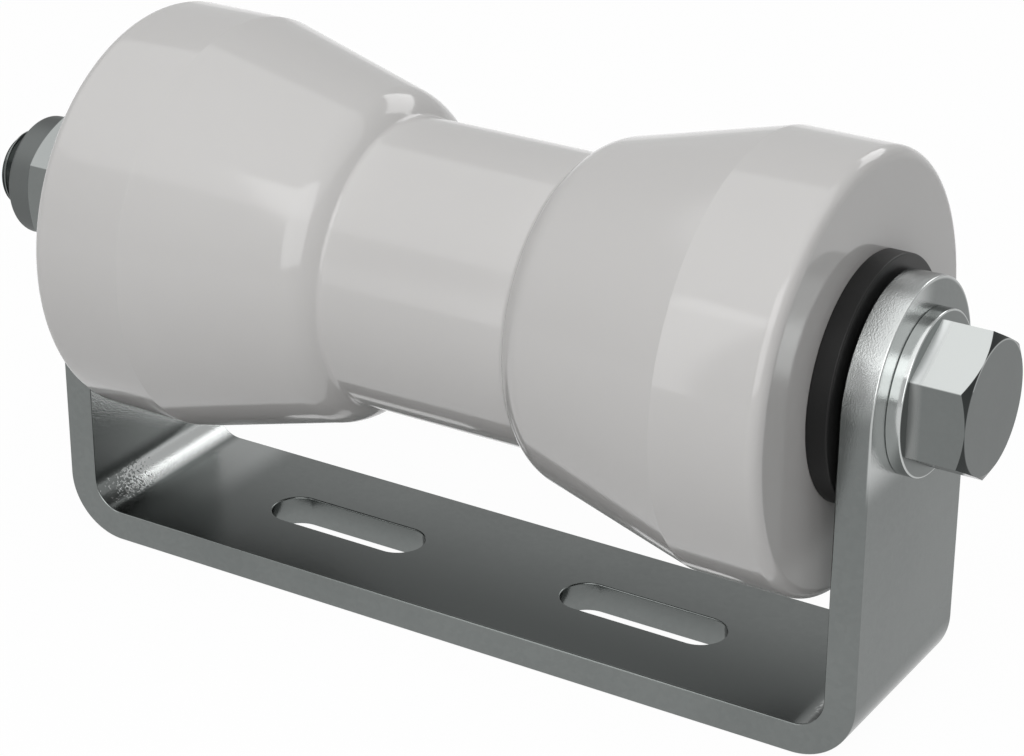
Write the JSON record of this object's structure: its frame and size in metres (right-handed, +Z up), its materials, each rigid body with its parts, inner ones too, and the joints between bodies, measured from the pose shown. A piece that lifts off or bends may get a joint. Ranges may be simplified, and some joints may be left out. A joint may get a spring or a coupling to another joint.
{
  "type": "boat trailer keel roller",
  "caption": "Waisted roller on a long hexagon bolt between the ears of a U-shaped steel bracket with a slotted base; carries and centres a boat's keel.",
  "frame": {"origin": "centre of the bracket's underside, half way between the two ears", "axes": "+X along the bolt towards its head, +Z up from the base through the bolt's axis, -Y towards the front, where the picture was taken"},
  "size_m": [0.263, 0.1, 0.1315],
  "materials": {
    "galvanised_steel": "galvanised, cloudy grey with fine spangle",
    "polyurethane": "smooth moulded gloss",
    "black_nylon": "satin black",
    "zinc_plate": "bright zinc plating",
    "white_nylon": "matte"
  },
  "bodies": {
    "holder": {"bracket": "galvanised_steel", "bolt": "zinc_plate", "washer_head": "zinc_plate", "washer_nut": "zinc_plate", "lock_nut": "zinc_plate", "nut_insert": "white_nylon"},
    "roller": {"roller": "polyurethane", "bush_right": "black_nylon", "bush_left": "black_nylon"}
  },
  "joints": [
    {"name": "roller_spin", "type": "hinge", "parent": "holder", "child": "roller", "pos_m": [0, 0, 0.0815], "axis": [1, 0, 0], "continuous": true}
  ]
}
